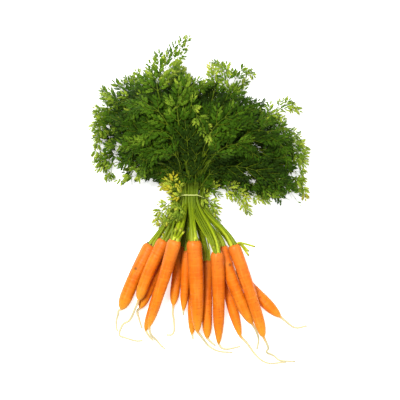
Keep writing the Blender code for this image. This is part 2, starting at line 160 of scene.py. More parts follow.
def tail_route(carrot):
    """Middle line of the fine root. The stretch before the tip only gives the curve its first direction."""
    start = root_point(carrot, 1.0)
    points = [root_point(carrot, 0.97), start]
    travelled = 0.0
    for x, y in carrot.tail:
        travelled += dist((x, y), points[-1][:2])
        fall = min(1.0, travelled / max(TAIL_LANDING, start.z * TAIL_SLOPE))
        ease = fall * fall * (3 - 2 * fall)
        points.append(Vector((x, y, mix(start.z, TIP_RADIUS, ease))))
    return smooth_route(points, TAIL_STEPS)[TAIL_STEPS:]


def root_rings(carrot):
    """Middle, radius and place of each ring: 0 at the crown, 1 at the tip, 2 at the end of the fine root."""
    rings = []
    inward = (root_point(carrot, 0.05) - root_point(carrot, 0)).normalized()
    for width, depth in CROWN_DIMPLE:
        rings.append((root_point(carrot, 0) + inward * depth, carrot.radius * width, -width / 10))
    shares = [SHOULDER * (1 - cos(pi / 2 * i / SHOULDER_RINGS)) for i in range(SHOULDER_RINGS)]
    shares += [mix(SHOULDER, carrot.blunt, i / BODY_RINGS) for i in range(BODY_RINGS)]
    shares += [mix(carrot.blunt, 1, sin(pi / 2 * i / TIP_RINGS)) for i in range(TIP_RINGS)]
    rings += [(root_point(carrot, share), root_radius(carrot, share), share) for share in shares]
    tail = tail_route(carrot)
    for point, share in zip(tail, shares_of(len(tail) - 1)):
        rings.append((point, mix(TIP_RADIUS, TAIL_END_RADIUS, share**0.85), 1 + share))
    return rings


def surface(name, vertices, faces):
    mesh = bpy.data.meshes.new(name)
    mesh.from_pydata(vertices, [], faces)
    mesh.shade_smooth()
    return mesh


def store(mesh, name, values):
    """Keeps a value for each vertex, which a material or a node tree reads."""
    mesh.attributes.new(name, "FLOAT", "POINT").data.foreach_set("value", values)


def root_mesh(name, carrot, draw):
    """The skin of one carrot from its crown to the end of its fine root."""
    # Each lump has its start, its waves round the root and along it, and its size.
    lumps = [(draw.uniform(0, 6.3), draw.choice((1, 2, 3)), draw.uniform(30, 90), draw.uniform(0.004, 0.013))
             for _ in range(ROOT_LUMPS)]
    length = (Vector(carrot.tip) - Vector(carrot.crown)).length
    # Each groove of a growth line has its place, width, depth, middle angle and half its arc.
    grooves = [(draw.uniform(0.06, 0.97) * length, draw.uniform(0.0005, 0.0013),
                draw.uniform(0.00012, 0.00032), draw.uniform(0, 6.3), draw.uniform(0.4, 1.5))
               for _ in range(GROWTH_LINES)]
    rings = root_rings(carrot)
    middles = [ring[0] for ring in rings]
    rim = len(CROWN_DIMPLE)
    vertices, shares, lengths = [], [], []
    travelled = 0.0
    for i, (middle, radius, share) in enumerate(rings):
        before, after = middles[max(i - 1, 0)], middles[min(i + 1, len(rings) - 1)]
        if i <= rim:
            before, after = middles[rim], middles[rim + 5]
        along = (after - before).normalized()
        right = along.cross(UP).normalized()
        up = right.cross(along)
        travelled += (middle - middles[max(i - 1, 0)]).length
        lengths.append(travelled)
        near = [groove for groove in grooves if share <= 1 and abs(groove[0] - travelled) < 3 * groove[1]]
        for side in range(ROOT_SIDES):
            angle = 2 * pi * side / ROOT_SIDES - pi / 2
            wide = radius
            for phase, waves, rate, size in lumps:
                wide += radius * size * sin(phase + waves * angle + rate * travelled)
            for place, width, depth, middle_angle, half in near:
                off = atan2(sin(angle - middle_angle), cos(angle - middle_angle)) / half
                wide -= depth * exp(-((travelled - place) / width) ** 2 - off**2)
            point = middle + (right * cos(angle) + up * sin(angle)) * wide
            point.z = max(point.z, TABLE_CLEARANCE)
            vertices.append(point)
            shares.append(share)
    faces, unrolled = [], []
    for ring, (low, high) in enumerate(zip(lengths, lengths[1:])):
        for side in range(ROOT_SIDES):
            a, b = ring * ROOT_SIDES + side, ring * ROOT_SIDES + (side + 1) % ROOT_SIDES
            faces.append((a, b, b + ROOT_SIDES, a + ROOT_SIDES))
            left, right = side / ROOT_SIDES, (side + 1) / ROOT_SIDES
            unrolled += [left, low, right, low, right, high, left, high]
    faces.append(tuple(range(ROOT_SIDES))[::-1])
    faces.append(tuple(range(len(vertices) - ROOT_SIDES, len(vertices))))
    unrolled += [0.5, lengths[0]] * ROOT_SIDES + [0.5, lengths[-1]] * ROOT_SIDES
    mesh = surface(name, vertices, faces)
    mesh.uv_layers.new(name="skin").data.foreach_set("uv", unrolled)
    store(mesh, "share", shares)
    store(mesh, "tone", [draw.random()] * len(vertices))
    return mesh


class Term:
    """A node's output in an expression. Arithmetic on it adds Math nodes."""

    def __init__(self, graph, socket):
        self.graph, self.socket = graph, socket

    def math(self, operation, *terms, **settings):
        return self.graph.node("ShaderNodeMath", dict(enumerate(terms)), operation=operation, **settings)

    def __add__(self, other):
        return self.math("ADD", self, other)

    def __sub__(self, other):
        return self.math("SUBTRACT", self, other)

    def __rsub__(self, other):
        return self.math("SUBTRACT", other, self)

    def __mul__(self, other):
        return self.math("MULTIPLY", self, other)

    __radd__, __rmul__ = __add__, __mul__

    def between(self, low, high):
        """0 at low, 1 at high, clamped."""
        return self.math("MULTIPLY", self - low, 1 / (high - low), use_clamp=True)


class Graph:
    """Nodes of one tree. A node gets its settings first, and then the values or links of its sockets."""

    def __init__(self, tree):
        self.tree = tree

    def node(self, kind, values=None, output=0, stops=(), **settings):
        made = self.tree.nodes.new(kind)
        for name, value in settings.items():
            setattr(made, name, value)
        for _ in stops[2:]:
            made.color_ramp.elements.new(0.5)
        for number, (place, color) in enumerate(stops):
            element = made.color_ramp.elements[number]
            element.position, element.color = place, (*color, 1.0)
        for name, value in (values or {}).items():
            if isinstance(value, Term):
                self.tree.links.new(value.socket, made.inputs[name])
            else:
                made.inputs[name].default_value = value
        return Term(self, made.outputs[output])


class Finish(Graph):
    """A plant surface: a Principled shader whose colour, gloss and relief are expressions."""

    def __init__(self, name, specular, **settings):
        self.material = bpy.data.materials.new(name)
        self.material.use_nodes = True
        super().__init__(self.material.node_tree)
        self.shader = self.tree.nodes["Principled BSDF"]
        self.shader.inputs["Specular IOR Level"].default_value = specular
        for socket, value in settings.items():
            self.shader.inputs[socket.replace("_", " ")].default_value = value

    def attribute(self, name):
        return self.node("ShaderNodeAttribute", output="Fac", attribute_name=name)

    def place(self):
        return self.node("ShaderNodeTexCoord", output="Object")

    def noise(self, vector, scale, detail=2.0):
        return self.node("ShaderNodeTexNoise", {"Vector": vector, "Scale": scale, "Detail": detail})

    def vector_math(self, operation, *terms, output="Vector"):
        return self.node("ShaderNodeVectorMath", dict(enumerate(terms)), output, operation=operation)

    def blend(self, factor, low, high):
        """A colour between two, which are each a colour or a term."""
        low, high = [c if isinstance(c, Term) else (*c, 1.0) for c in (low, high)]
        return self.node("ShaderNodeMix", {0: factor, 6: low, 7: high}, output=2, data_type="RGBA")

    def coat(self, color, *coats):
        """The colour with others laid over it in turn, each given by its mask and itself."""
        for mask, over in coats:
            color = self.blend(mask, color, over)
        return color

    def finish(self, color, roughness=None, height=None, depth=0.0, strength=0.0):
        self.tree.links.new(color.socket, self.shader.inputs["Base Color"])
        if roughness:
            self.tree.links.new(roughness.socket, self.shader.inputs["Roughness"])
        if height:
            relief = self.node("ShaderNodeBump", {"Strength": strength, "Distance": depth, "Height": height})
            self.tree.links.new(relief.socket, self.shader.inputs["Normal"])
        return self.material


# Dark brown spots on the skin: middle and radius. The third sits on the side of a carrot where it meets its
# neighbour and is painted shade in the gap; the others are bruises.
BRUISES_AND_GAP_SHADE = (
    ((-0.1129, 0.0344, 0.02), 0.0042), ((0.0361, 0.0416, 0.041), 0.004),
    ((-0.074, 0.037, 0.038), 0.003), ((0.042, 0.03, 0.04), 0.0022),
)


def carrot_skin():
    skin = Finish("carrot_skin", 0.16)
    share, tone = skin.attribute("share"), skin.attribute("tone")
    unrolled = skin.node("ShaderNodeUVMap", uv_map="skin")
    around, along = [skin.node("ShaderNodeSeparateXYZ", {0: unrolled}, axis) for axis in (0, 1)]

    def scaled(across, lengthwise, shift):
        """The unrolled skin at another scale, shifted from carrot to carrot."""
        return skin.node("ShaderNodeCombineXYZ", {0: around * across, 1: along * lengthwise, 2: tone * shift})

    rings = skin.noise(scaled(2.2, 260, 9), 1.0, 3.0)
    lines = skin.noise(scaled(6, 1300, 5), 1.0)
    clouds = skin.noise(scaled(5, 45, 20), 1.0, 3.0)
    highlight_streaks = skin.noise(scaled(14, 24, 13), 1.0, 3.0)
    seat = scaled(5, 95, 30)
    spots = skin.node("ShaderNodeTexVoronoi", {"Vector": seat, "Scale": 1.0, "Randomness": 0.9}, "Position")
    away = skin.vector_math("MULTIPLY", skin.vector_math("SUBTRACT", seat, spots), (4.6, 13.0, 0.0))
    scars = 1 - skin.vector_math("LENGTH", away, output="Value").between(0.35, 1.0)
    color = skin.coat(
        skin.blend(clouds.between(0.3, 0.7), (0.52, 0.09, 0.001), (0.63, 0.16, 0.002)),
        (rings.between(0.5, 0.72) * 0.5, (0.84, 0.25, 0.018)),  # pale growth rings
        (tone * 0.35, (0.72, 0.135, 0.006)),  # redder on some carrots
        ((1 - share.between(0.0, 0.38)) * 0.6, (0.6, 0.15, 0.018)),  # duller towards the crown
        (share.between(0.45, 1.0) * 0.6, (0.6, 0.18, 0.003)),  # yellower towards the tip
        (share.between(0.78, 1.0) * 0.7, (0.66, 0.3, 0.022)),  # yellowest at the tip
        (highlight_streaks.between(0.52, 0.74) * 0.4, (0.74, 0.27, 0.05)),  # painted highlights: pale streaks along the skin
        (scars * 0.6, (0.36, 0.07, 0.008)),  # short scars of side roots
    )
    for middle, radius in BRUISES_AND_GAP_SHADE:
        away = skin.vector_math("DISTANCE", skin.place(), middle, output="Value") + (clouds - 0.5) * 0.004
        color = skin.blend((1 - away.between(radius * 0.4, radius)) * 0.85, color, (0.1, 0.045, 0.008))
    color = skin.coat(
        color,
        (share.between(0.98, 1.12), (0.55, 0.48, 0.27)),  # the fine root is pale straw
        (1 - share.between(-0.03, 0.004), (0.1, 0.075, 0.018)),  # the hollow of the crown is brown
    )
    return skin.finish(color, 0.36 + clouds * 0.18, rings * 0.6 + lines * 0.35 - scars * 0.9, 0.0006, 0.45)


scene = bpy.context.scene


def add_object(name, data, *materials):
    for material in materials:
        data.materials.append(material)
    made = bpy.data.objects.new(name, data)
    scene.collection.objects.link(made)
    return made


skin_material = carrot_skin()
for index, carrot in enumerate(CARROTS, start=1):
    name = f"root_{index:02d}"
    root = add_object(name, root_mesh(name, carrot, random.Random(100 + index)), skin_material)
    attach(root, "root")
    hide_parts(f"carrot_{index:02d}")

# Leaf stalks
# Six or seven juicy ribbed stalks grow from each crown, with loose thin ones and dry leaf bases among them.
# They run side by side through the rubber band and fan out past it, and carry the leaflets on thinner ribs.
TIE_X, TIE_Y, TIE_Z = -0.027, 0.146, 0.014
BLOCK_PITCH = 0.0084  # the stalks of one carrot fill a block in the tie
STALK_PITCH = 0.0039
BAND_LEAN = 0.4  # how far back along Y for each metre of height
CROWN_RING = 0.0036
STALK_SUNK = 0.001  # how deep a stalk's foot stands in the crown
STALK_RADII = (0.0021, 0.0018, 0.0011)  # at the crown, at the tie, and where the leaflets start
STALK_FLARE = 0.75
STALK_RIBS = 7
STALK_SIDES, RIB_SIDES = 9, 4
STALK_STEPS = 15
STALK_BOWS = (0.55, 1.25)  # from the crown furthest left and from the one furthest right
LEFT_CROWN, RIGHT_CROWN = -0.09, 0.04
FREE_SHARES = (0.2, 0.4, 0.6, 0.8, 1.0)  # along the bare stretch past the tie
STALK_OVERLAP = 0.006  # how far a stalk runs on past its first leaflets
HALF_FAN = radians(125)
STRAIGHT_ON = 0.001
TURN_LENGTHS = (0.125, 0.07)  # in the middle of the fan and at its edges
CREST_LENGTH = 0.2
EASE = 0.15
LIFT_LENGTH = 0.07
FLOOR, CEILING = 0.006, 0.098  # between these run the ribs of the leaves
LEAFLET_SHAPES = 4
# Per row of carrots, lowest first: number of tops, half-width and middle of the row's share of the fan,
# heights of the curve's middle handle and of its end, reach, bare length, and tint of the leaves. The tint
# is lower for lower rows, as painted shade beneath the upper leaves.
Row = namedtuple("Row", "tops half_fan middle crest end reach bare tint")
ROWS = (
    Row(7, 1.0, 0.0, 0.04, 0.007, 1.0, 0.5, 0.33),
    Row(5, 0.92, 0.06, 0.085, 0.024, 1.0, 0.85, 0.38),
    Row(3, 0.76, -0.09, 0.118, 0.05, 0.93, 1.15, 0.4),
)
# How far leaves reach from the tie, by place across the fan, from -1 on the left to 1 on the right.
OUTLINE = (
    (-1.0, 0.052), (-0.9, 0.076), (-0.8, 0.112), (-0.7, 0.136), (-0.6, 0.164), (-0.5, 0.202), (-0.4, 0.226),
    (-0.3, 0.233), (-0.15, 0.238), (-0.05, 0.226), (0.0, 0.214), (0.05, 0.19), (0.12, 0.214), (0.2, 0.216),
    (0.3, 0.196), (0.4, 0.206), (0.5, 0.204), (0.6, 0.206), (0.7, 0.204), (0.8, 0.188), (0.85, 0.172),
    (0.9, 0.15), (1.0, 0.118),
)
# A stalk's seat in its block, right and up in half pitches, and its thickness. Then its leaf's place across
# the slice of the fan, lift, reach as a share of the outline, and distance from the tie.
Leaf = namedtuple("Leaf", "right above thickness across lift reach start")
LEAVES = (
    Leaf(-1, 1, 1.0, -0.45, 0.0045, 1.0, 0.062),
    Leaf(1, 1, 1.0, 0.42, 0.0015, 0.95, 0.056),
    Leaf(1, -1, 1.0, 0.5, -0.0045, 0.8, 0.045),
    Leaf(-1, -1, 1.0, -0.9, -0.0015, 0.92, 0.05),
    Leaf(0, 0, 0.45, 0.02, 0.01, 0.98, 0.056),
    Leaf(2.15, 0, 0.5, 0.9, 0.006, 0.72, 0.04),
    Leaf(-0.2, -2.1, 0.4, -0.4, -0.003, 0.5, 0.026),
)
# Carrot 7 lies askew, so its stalks set out straight for the tie.
FIRST_HEADINGS = {7: Vector((0.0, 1.45, 0.0))}


def outline_reach(place):
    for (left, near), (right, far) in zip(OUTLINE, OUTLINE[1:]):
        if place <= right:
            return mix(near, far, max(0.0, (place - left) / (right - left)))
    return OUTLINE[-1][1]


def stream(place, distance):
    """Plan of a stalk past the tie, at this place across the fan."""
    heading = HALF_FAN * place
    turn_length = mix(*TURN_LENGTHS, abs(place))
    turning = min(distance, turn_length)
    straight = distance - turning
    if abs(heading) < STRAIGHT_ON:
        x, y = 0.0, turning
    else:
        bend = turn_length / heading
        x = bend * (1 - cos(turning / bend))
        y = bend * sin(turning / bend)
    return x + straight * sin(heading), y + straight * cos(heading)


def stream_height(row, base, distance):
    share = distance / CREST_LENGTH
    eased = (1 + EASE) * share**2 / (share + EASE)
    return base * (1 - eased) ** 2 + 2 * row.crest * eased * (1 - eased) + row.end * eased**2


class Top:
    """Where the leaves of one carrot grow: its crown, its block at the tie and its slice of the fan."""

    def __init__(self, index, carrot, order):
        self.index = index
        self.row = ROWS[carrot.row]
        self.last = order == self.row.tops - 1
        self.half = self.row.half_fan / self.row.tops
        self.middle = self.row.middle + (2 * order + 1 - self.row.tops) * self.half
        self.x = TIE_X + (order - (self.row.tops - 1) / 2) * BLOCK_PITCH
        self.z = TIE_Z + carrot.row * BLOCK_PITCH
        self.radius = carrot.radius
        self.crown = Vector(carrot.crown)
        self.out = (root_point(carrot, 0.0) - root_point(carrot, 0.1)).normalized()
        self.side = self.out.cross(UP).normalized()
        self.up = self.side.cross(self.out)
        self.first_heading = FIRST_HEADINGS.get(index, self.out)

    def crown_point(self, right, along, above):
        return self.crown + self.side * right + self.out * along + self.up * above

    def tie_slot(self, leaf):
        z = self.z + STALK_PITCH * leaf.above / 2
        lean = (z - TIE_Z - BLOCK_PITCH) * BAND_LEAN
        return Vector((self.x + STALK_PITCH * leaf.right / 2, TIE_Y + lean, z))

    def point(self, place, distance, slot, lift):
        x, y = stream(place, distance)
        height = stream_height(self.row, slot.z, distance) + lift * min(1.0, distance / LIFT_LENGTH) ** 2
        return Vector((slot.x + x, slot.y + y, clamp(height, FLOOR, CEILING)))


tops = []
placed = [0 for _ in ROWS]
for index, carrot in enumerate(CARROTS, start=1):
    tops.append(Top(index, carrot, placed[carrot.row]))
    placed[carrot.row] += 1


def hermite(start, end, start_slope, end_slope, share):
    a = 2 * share**3 - 3 * share**2 + 1
    b = share**3 - 2 * share**2 + share
    c = -2 * share**3 + 3 * share**2
    d = share**3 - share**2
    return start * a + start_slope * b + end * c + end_slope * d


class Sketch:
    """Middle lines and leaflet seats, as a mesh of edges and loose points that a node tree fleshes out."""

    def __init__(self):
        self.points, self.edges, self.headings, self.facings = [], [], [], []
        self.values = {"thick": [], "size": [], "tint": [], "rise": []}

    def add(self, point, heading, facing, **values):
        self.points.append(point)
        self.headings.append(heading)
        self.facings.append(facing)
        for name, kept in self.values.items():
            kept.append(values.get(name, 0.0))

    def line(self, points, radii, tint, rises):
        first = len(self.points)
        for point, radius, rise in zip(points, radii, rises):
            self.add(point, Vector((0, 1, 0)), UP, thick=radius, tint=tint, rise=rise)
        self.edges += [(i, i + 1) for i in range(first, len(self.points) - 1)]

    def mesh(self, name):
        mesh = bpy.data.meshes.new(name)
        mesh.from_pydata(self.points, self.edges, [])
        for key, kept in self.values.items():
            store(mesh, key, kept)
        for key, kept in (("heading", self.headings), ("facing", self.facings)):
            flat = [value for vector in kept for value in vector]
            mesh.attributes.new(key, "FLOAT_VECTOR", "POINT").data.foreach_set("vector", flat)
        return mesh


def growth_tree():
    """Turns a sketch into round stalks along its lines and leaflets on its loose points."""
    tree = bpy.data.node_groups.new("growth", "GeometryNodeTree")
    sockets = {}
    for name, kind in (("Sketch", "Geometry"), ("Stalk sides", "Int"), ("Seed", "Int"),
                       ("Leaflet shapes", "Collection"), ("Stalk surface", "Material"),
                       ("Blade surface", "Material")):
        sockets[name] = tree.interface.new_socket(name=name, in_out="INPUT", socket_type=f"NodeSocket{kind}")
    tree.interface.new_socket(name="Plant", in_out="OUTPUT", socket_type="NodeSocketGeometry")
    graph = Graph(tree)

    def geometry(kind, values=None, output=0, **settings):
        return graph.node("GeometryNode" + kind, values, output, **settings)

    inputs = {name: graph.node("NodeGroupInput", output=name) for name in sockets}

    def stored(name, kind="FLOAT"):
        return geometry("InputNamedAttribute", {"Name": name}, data_type=kind)

    lines = geometry("MeshToCurve", {"Mesh": inputs["Sketch"]})
    ring = geometry("CurvePrimitiveCircle", {"Resolution": inputs["Stalk sides"]})
    turn = geometry("SplineParameter", output="Factor")
    ring = geometry("StoreNamedAttribute", {"Geometry": ring, "Name": "around", "Value": turn})
    stalks = geometry("CurveToMesh", {"Curve": lines, "Profile Curve": ring, "Scale": stored("thick"),
                                      "Fill Caps": True})
    stalks = geometry("SetShadeSmooth", {"Geometry": stalks})
    stalks = geometry("SetMaterial", {"Geometry": stalks, "Material": inputs["Stalk surface"]})

    shapes = geometry("CollectionInfo", {0: inputs["Leaflet shapes"], 1: True, 2: True})
    axes = {0: stored("heading", "FLOAT_VECTOR"), 1: stored("facing", "FLOAT_VECTOR")}
    turned = graph.node("FunctionNodeAxesToRotation", axes, primary_axis="Y", secondary_axis="Z")
    which = graph.node("FunctionNodeRandomValue", {5: LEAFLET_SHAPES - 1, "Seed": inputs["Seed"]}, 2,
                       data_type="INT")
    size = stored("size")  # zero on a line, so that no leaflet grows there
    blades = geometry("InstanceOnPoints", {
        "Points": inputs["Sketch"], "Selection": size, "Instance": shapes, "Pick Instance": True,
        "Instance Index": which, "Rotation": turned, "Scale": size})
    blades = geometry("RealizeInstances", {"Geometry": blades})
    blades = geometry("SetMaterial", {"Geometry": blades, "Material": inputs["Blade surface"]})
    plant = geometry("JoinGeometry")
    joined = plant.socket.node
    for part in (blades, stalks):
        tree.links.new(part.socket, joined.inputs[0])
    final = geometry("RealizeInstances", {"Geometry": plant})
    out = tree.nodes.new("NodeGroupOutput")
    tree.links.new(final.socket, out.inputs[0])
    return tree, {name: socket.identifier for name, socket in sockets.items()}


growth, growth_inputs = growth_tree()


def grow(name, sketch, settings):
    """A plain mesh piece grown from a sketch."""
    guide = add_object(name + "_guide", sketch.mesh(name + "_guide"))
    modifier = guide.modifiers.new("growth", "NODES")
    modifier.node_group = growth
    for key, value in settings.items():
        modifier[growth_inputs[key]] = value
    graph = bpy.context.evaluated_depsgraph_get()
    mesh = bpy.data.meshes.new_from_object(guide.evaluated_get(graph))
    bpy.data.objects.remove(guide)
    mesh.name = name
    return add_object(name, mesh)


def stalk_finish():
    stalk = Finish("leaf_stalk", 0.14)
    rise, tint, around = [stalk.attribute(name) for name in ("rise", "tint", "around")]
    stains = stalk.noise(stalk.place(), 240.0, 3.0)
    ribs = around.math("SINE", around * (2 * pi * STALK_RIBS)) * 0.5 + 0.5
    color = stalk.coat(
        stalk.blend(rise.between(0.0, 0.35), (0.46, 0.5, 0.038), (0.24, 0.315, 0.002)),
        (rise.between(0.3, 1.2), (0.026, 0.062, 0.003)),  # deep green past the tie: partly the stalks' own colour, deepened by painted shade under the leaves
        (tint.between(0.2, 0.9) * 0.75, (0.055, 0.105, 0.002)),  # darker at low tint: at random on stalks, and on leaf ribs also by the painted shade in their leaf's tint
        (ribs * 0.2, (0.38, 0.42, 0.012)),
        (stains.between(0.5, 0.8) * 0.5, (0.05, 0.09, 0.003)),
        (1 - rise.between(-0.9, -0.3), (0.13, 0.08, 0.022)),  # cut ends and leaf bases dry brown
    )
    return stalk.finish(color, 0.34 + stains * 0.2, ribs * 0.7 + stains * 0.3, 0.0003, 0.5)


stalk_material = stalk_finish()


def stalk_points(top, leaf, place, draw):
    """Middle line, radii and rise of one stalk from its crown to its first leaflets."""
    slot = top.tie_slot(leaf)
    ring = CROWN_RING / sqrt(2)
    start = top.crown_point(leaf.right * ring, -STALK_SUNK, leaf.above * ring)
    reach = (slot - start).length * 0.9
    bow = mix(*STALK_BOWS, (start.x - LEFT_CROWN) / (RIGHT_CROWN - LEFT_CROWN)) * reach
    shares = shares_of(STALK_STEPS)
    points = [hermite(start, slot, top.first_heading * bow, Vector((0, reach, 0)), share) for share in shares]
    sway, swell = draw.uniform(-0.0022, 0.0022), draw.uniform(0.78, 1.22)
    for point, share in zip(points, shares):
        point.x += sway * sin(pi * share) ** 2
        point.z += 0.8 * abs(sway) * sin(pi * share) ** 2
    free = max(leaf.start, leaf.start * top.row.bare + STALK_OVERLAP)
    for share in FREE_SHARES:
        points.append(top.point(mix(top.middle, place, share), free * share, slot, leaf.lift))
    foot, tied, end = STALK_RADII
    radii = [mix(foot, tied, share) * (1 + STALK_FLARE * (1 - share) ** 7) for share in shares]
    radii += [mix(tied, end, share) for share in FREE_SHARES]
    rises = shares + [1 + share / 2 for share in FREE_SHARES]
    return points, [radius * leaf.thickness * swell for radius in radii], rises


# Loose stalks of a crown: how many, and how far they sway.
USUAL_LOOSE = (4, 0.004)
LOOSE_STALKS = {15: (11, 0.01), 11: (7, 0.006), 5: (6, 0.006)}
LEAF_BASES = 9
BASE_SUNK, BASE_RADII = 0.0022, (0.0011, 0.0008, 0.0003)
CUT_RADII = (0.0022, 0.0017, 0.0016)  # at the foot, along the stalk and at the cut
# Stalks that were cut short beside the crown: number of the carrot, rise, which sets how green they are, and
# places of the bend and the cut, each right, along and above the crown.
CUT_STALKS = (
    (12, 0.2, (0.0125, -0.002, -0.001), (0.0316, -0.0165, -0.004)),
    (12, 0.2, (0.0115, -0.003, -0.003), (0.0195, -0.02, -0.006)),
    (12, 0.2, (0.011, -0.0045, -0.005), (0.0172, -0.0268, -0.01)),
    (13, 0.45, (-0.003, 0.009, 0.004), (-0.0045, 0.0205, 0.008)),
    (13, 0.5, (0.002, 0.009, 0.005), (0.0035, 0.0225, 0.0095)),
    (13, 0.4, (0.005, 0.007, 0.004), (0.0095, 0.019, 0.008)),
    (15, 0.4, (-0.004, 0.006, 0.004), (-0.006, 0.012, 0.006)),
    (8, 0.4, (-0.004, 0.004, 0.004), (-0.007, 0.009, 0.006)),
)


def add_loose_stalks(stalks, top, draw):
    """Thin older stalks that run up to the tie and end in the leaves just past it."""
    count, widest = LOOSE_STALKS.get(top.index, USUAL_LOOSE)
    for _ in range(count):
        right, above = draw.uniform(-2.2, 2.2), draw.uniform(-1.5, 2.4)
        thickness, across, start = draw.uniform(0.35, 0.6), draw.uniform(-1, 1), draw.uniform(0.03, 0.06)
        leaf = Leaf(right, above, thickness, across, 0.0, 0.0, start)
        points, radii, rises = stalk_points(top, leaf, top.middle + top.half * across, draw)
        sway = draw.uniform(-widest, widest * 0.6)
        for i, point in enumerate(points[:STALK_STEPS + 1]):
            point.x += sway * sin(pi * i / STALK_STEPS)
        stalks.line(points, radii, draw.uniform(0.2, 1.2), rises)


def add_remains(stalks, top, draw):
    """Cut stalks, and the dry brown bases of leaves that fell off round the crown."""
    for index, green, bend, cut in CUT_STALKS:
        if index == top.index:
            base = top.crown_point(bend[0] * 0.5, -STALK_SUNK, bend[2] * 0.5)
            bend, cut = top.crown_point(*bend), top.crown_point(*cut)
            route = smooth_route([base, bend, cut], 5)
            foot, along, end = CUT_RADII
            rises = [0.05, 0.1] + [green] * (len(route) - 4) + [-0.3, -0.8]
            stalks.line(route, [foot] + [along] * (len(route) - 2) + [end], 0.2, rises)
    for _ in range(LEAF_BASES):
        angle, out = draw.uniform(0, 2 * pi), top.radius * draw.uniform(0.46, 0.66)
        right, above = out * cos(angle), out * sin(angle)
        rise = draw.uniform(0.001, 0.0036)
        base = top.crown_point(right, -BASE_SUNK, above)
        end = top.crown_point(right * 1.05, rise, above * 1.05)
        stalks.line([base, base.lerp(end, 0.6), end], BASE_RADII, 0.0, [-1.0] * 3)


# Leaflets
# Every leaf is cut three times over, into pairs of side ribs, pairs of leaflets and pairs of narrow lobes.
# The blades are thin, soft and matt and lighter where they are young. Within the bunch they are darkened by
# painted shade, and at the rim they are lightened by painted light.
BLADE_HALF_WIDTH = 0.062  # this and the lobes' sizes are shares of the leaflet
LOBE_SIZES = (0.38, 0.37, 0.31)
LOBE_SEATS = (0.1, 0.5)  # of the first and the last pair
LOBE_HALF_WIDTH = 0.15  # as a share of the lobe
LOWEST, HIGHEST = 0.0045, 0.105  # between these every leaflet ends


def leaflet_shape(name, draw):
    """One leaflet, a unit long: a long blade for its middle and pairs of narrow pointed lobes along it."""
    vertices, faces, along = [], [], []

    def blade(base, tip, wide, shoulders):
        """A thin lens from base to tip, as wide as its shoulders say, with an edge that both skins share."""
        way = tip - base
        side = way.cross(UP).normalized() * wide
        first = len(vertices)
        rim = [base]
        rim += [base + way * share + side * part for share, part in shoulders]
        rim.append(tip)
        rim += [base + way * share - side * part for share, part in reversed(shoulders)]
        hollow_shade = base + way * 0.45
        thick = Vector((0, 0, 0.16 * wide + 0.004))
        for point in (*rim, hollow_shade + thick, hollow_shade - thick):
            vertices.append(point)
            along.append(min(1.0, (point - base).length / way.length * 0.7 + base.y * 0.3))
        count = len(rim)
        for i in range(count):
            after = (i + 1) % count
            faces.append((first + i, first + count, first + after))
            faces.append((first + i, first + after, first + count + 1))

    tip = Vector((draw.uniform(-0.05, 0.05), 1.0, draw.uniform(-0.1, 0.02)))
    blade(Vector((0, 0, 0)), tip, BLADE_HALF_WIDTH, ((0.25, 0.85), (0.62, 1.0)))
    for i, share in enumerate(LOBE_SIZES):
        y = mix(*LOBE_SEATS, i / (len(LOBE_SIZES) - 1))
        for hand in (1, -1):
            seat = tip * (y + draw.uniform(-0.02, 0.02))
            lean = radians(draw.uniform(16, 24))
            size = share * draw.uniform(0.9, 1.1)
            lift = draw.uniform(-0.15, 0.12)
            end = seat + Vector((hand * sin(lean), cos(lean), lift)) * size
            blade(seat, end, size * LOBE_HALF_WIDTH, ((0.5, 1.0),))
    mesh = surface(name, vertices, faces)
    store(mesh, "along", along)
    return bpy.data.objects.new(name, mesh)


shapes = bpy.data.collections.new("leaflet_shapes")
for number in range(LEAFLET_SHAPES):
    shapes.objects.link(leaflet_shape(f"leaflet_shape_{number}", random.Random(40 + number)))


# Greens from the darkest leaves to the lightest, and the ochre of those that are dying. The dark end also
# carries the painted shade deep in the bunch, and the light end carries the painted light at the rim.
BLADE_GREENS = (
    (0.0, (0.006, 0.02, 0.0)), (0.22, (0.018, 0.054, 0.0004)), (0.42, (0.04, 0.102, 0.0015)),
    (0.62, (0.128, 0.212, 0.012)), (0.76, (0.31, 0.41, 0.036)), (0.94, (0.47, 0.52, 0.045)),
    (1.0, (0.47, 0.4, 0.02)),
)


def blade_finish():
    blade = Finish("leaf_blade", 0.08)
    tint, along = blade.attribute("tint"), blade.attribute("along")
    patches, grain = blade.noise(blade.place(), 45.0), blade.noise(blade.place(), 900.0)
    age_light_and_shade = tint + along * 0.34 + patches * 0.3 - 0.31
    color = blade.node("ShaderNodeValToRGB", {0: age_light_and_shade}, stops=BLADE_GREENS)
    color = blade.blend((1 - along) * 0.2, color, (0.075, 0.14, 0.006))
    return blade.finish(color, 0.44 + patches * 0.2, grain, 0.0002, 0.3)


blade_material = blade_finish()


def turn_about(vector, axis, angle):
    return Matrix.Rotation(angle, 3, axis) @ vector


MM = 0.001  # the two tables that place leaves are in millimetres
# Where the leaves part and the table shows: middle and radius.
GAPS = (
    (73.7, 232.9, 5), (81.6, 227.4, 5.5), (84.8, 219.5, 5.5), (61.2, 186.5, 7), (72.2, 173.9, 7.5),
    (141.4, 186.5, 8), (-157.3, 261.7, 4), (-134.9, 250.2, 3.5), (-163.7, 237.2, 4), (-165.7, 226.5, 4),
    (-141.1, 230, 6.5), (-144.5, 217.8, 7), (-142.8, 203.7, 5.5), (-153.4, 205.6, 5), (-148.2, 191.4, 7),
    (-113, 208.9, 3.5), (-107.7, 198.4, 4), (-193, 282, 11), (134, 143, 14), (-117.4, 183.6, 8),
    (-136.4, 178.9, 6), (-119, 166.5, 10.5),
)
LEAFLET_PITCH = 0.0076
LEAFLET_SIZES = (0.0135, 0.0235)  # at the end of a side rib and at its foot
TIP_LEAFLET = 0.014
USUAL_RIB = 0.034  # a side rib of this length has leaflets of these sizes
SIDE_RIB_STEPS = 5
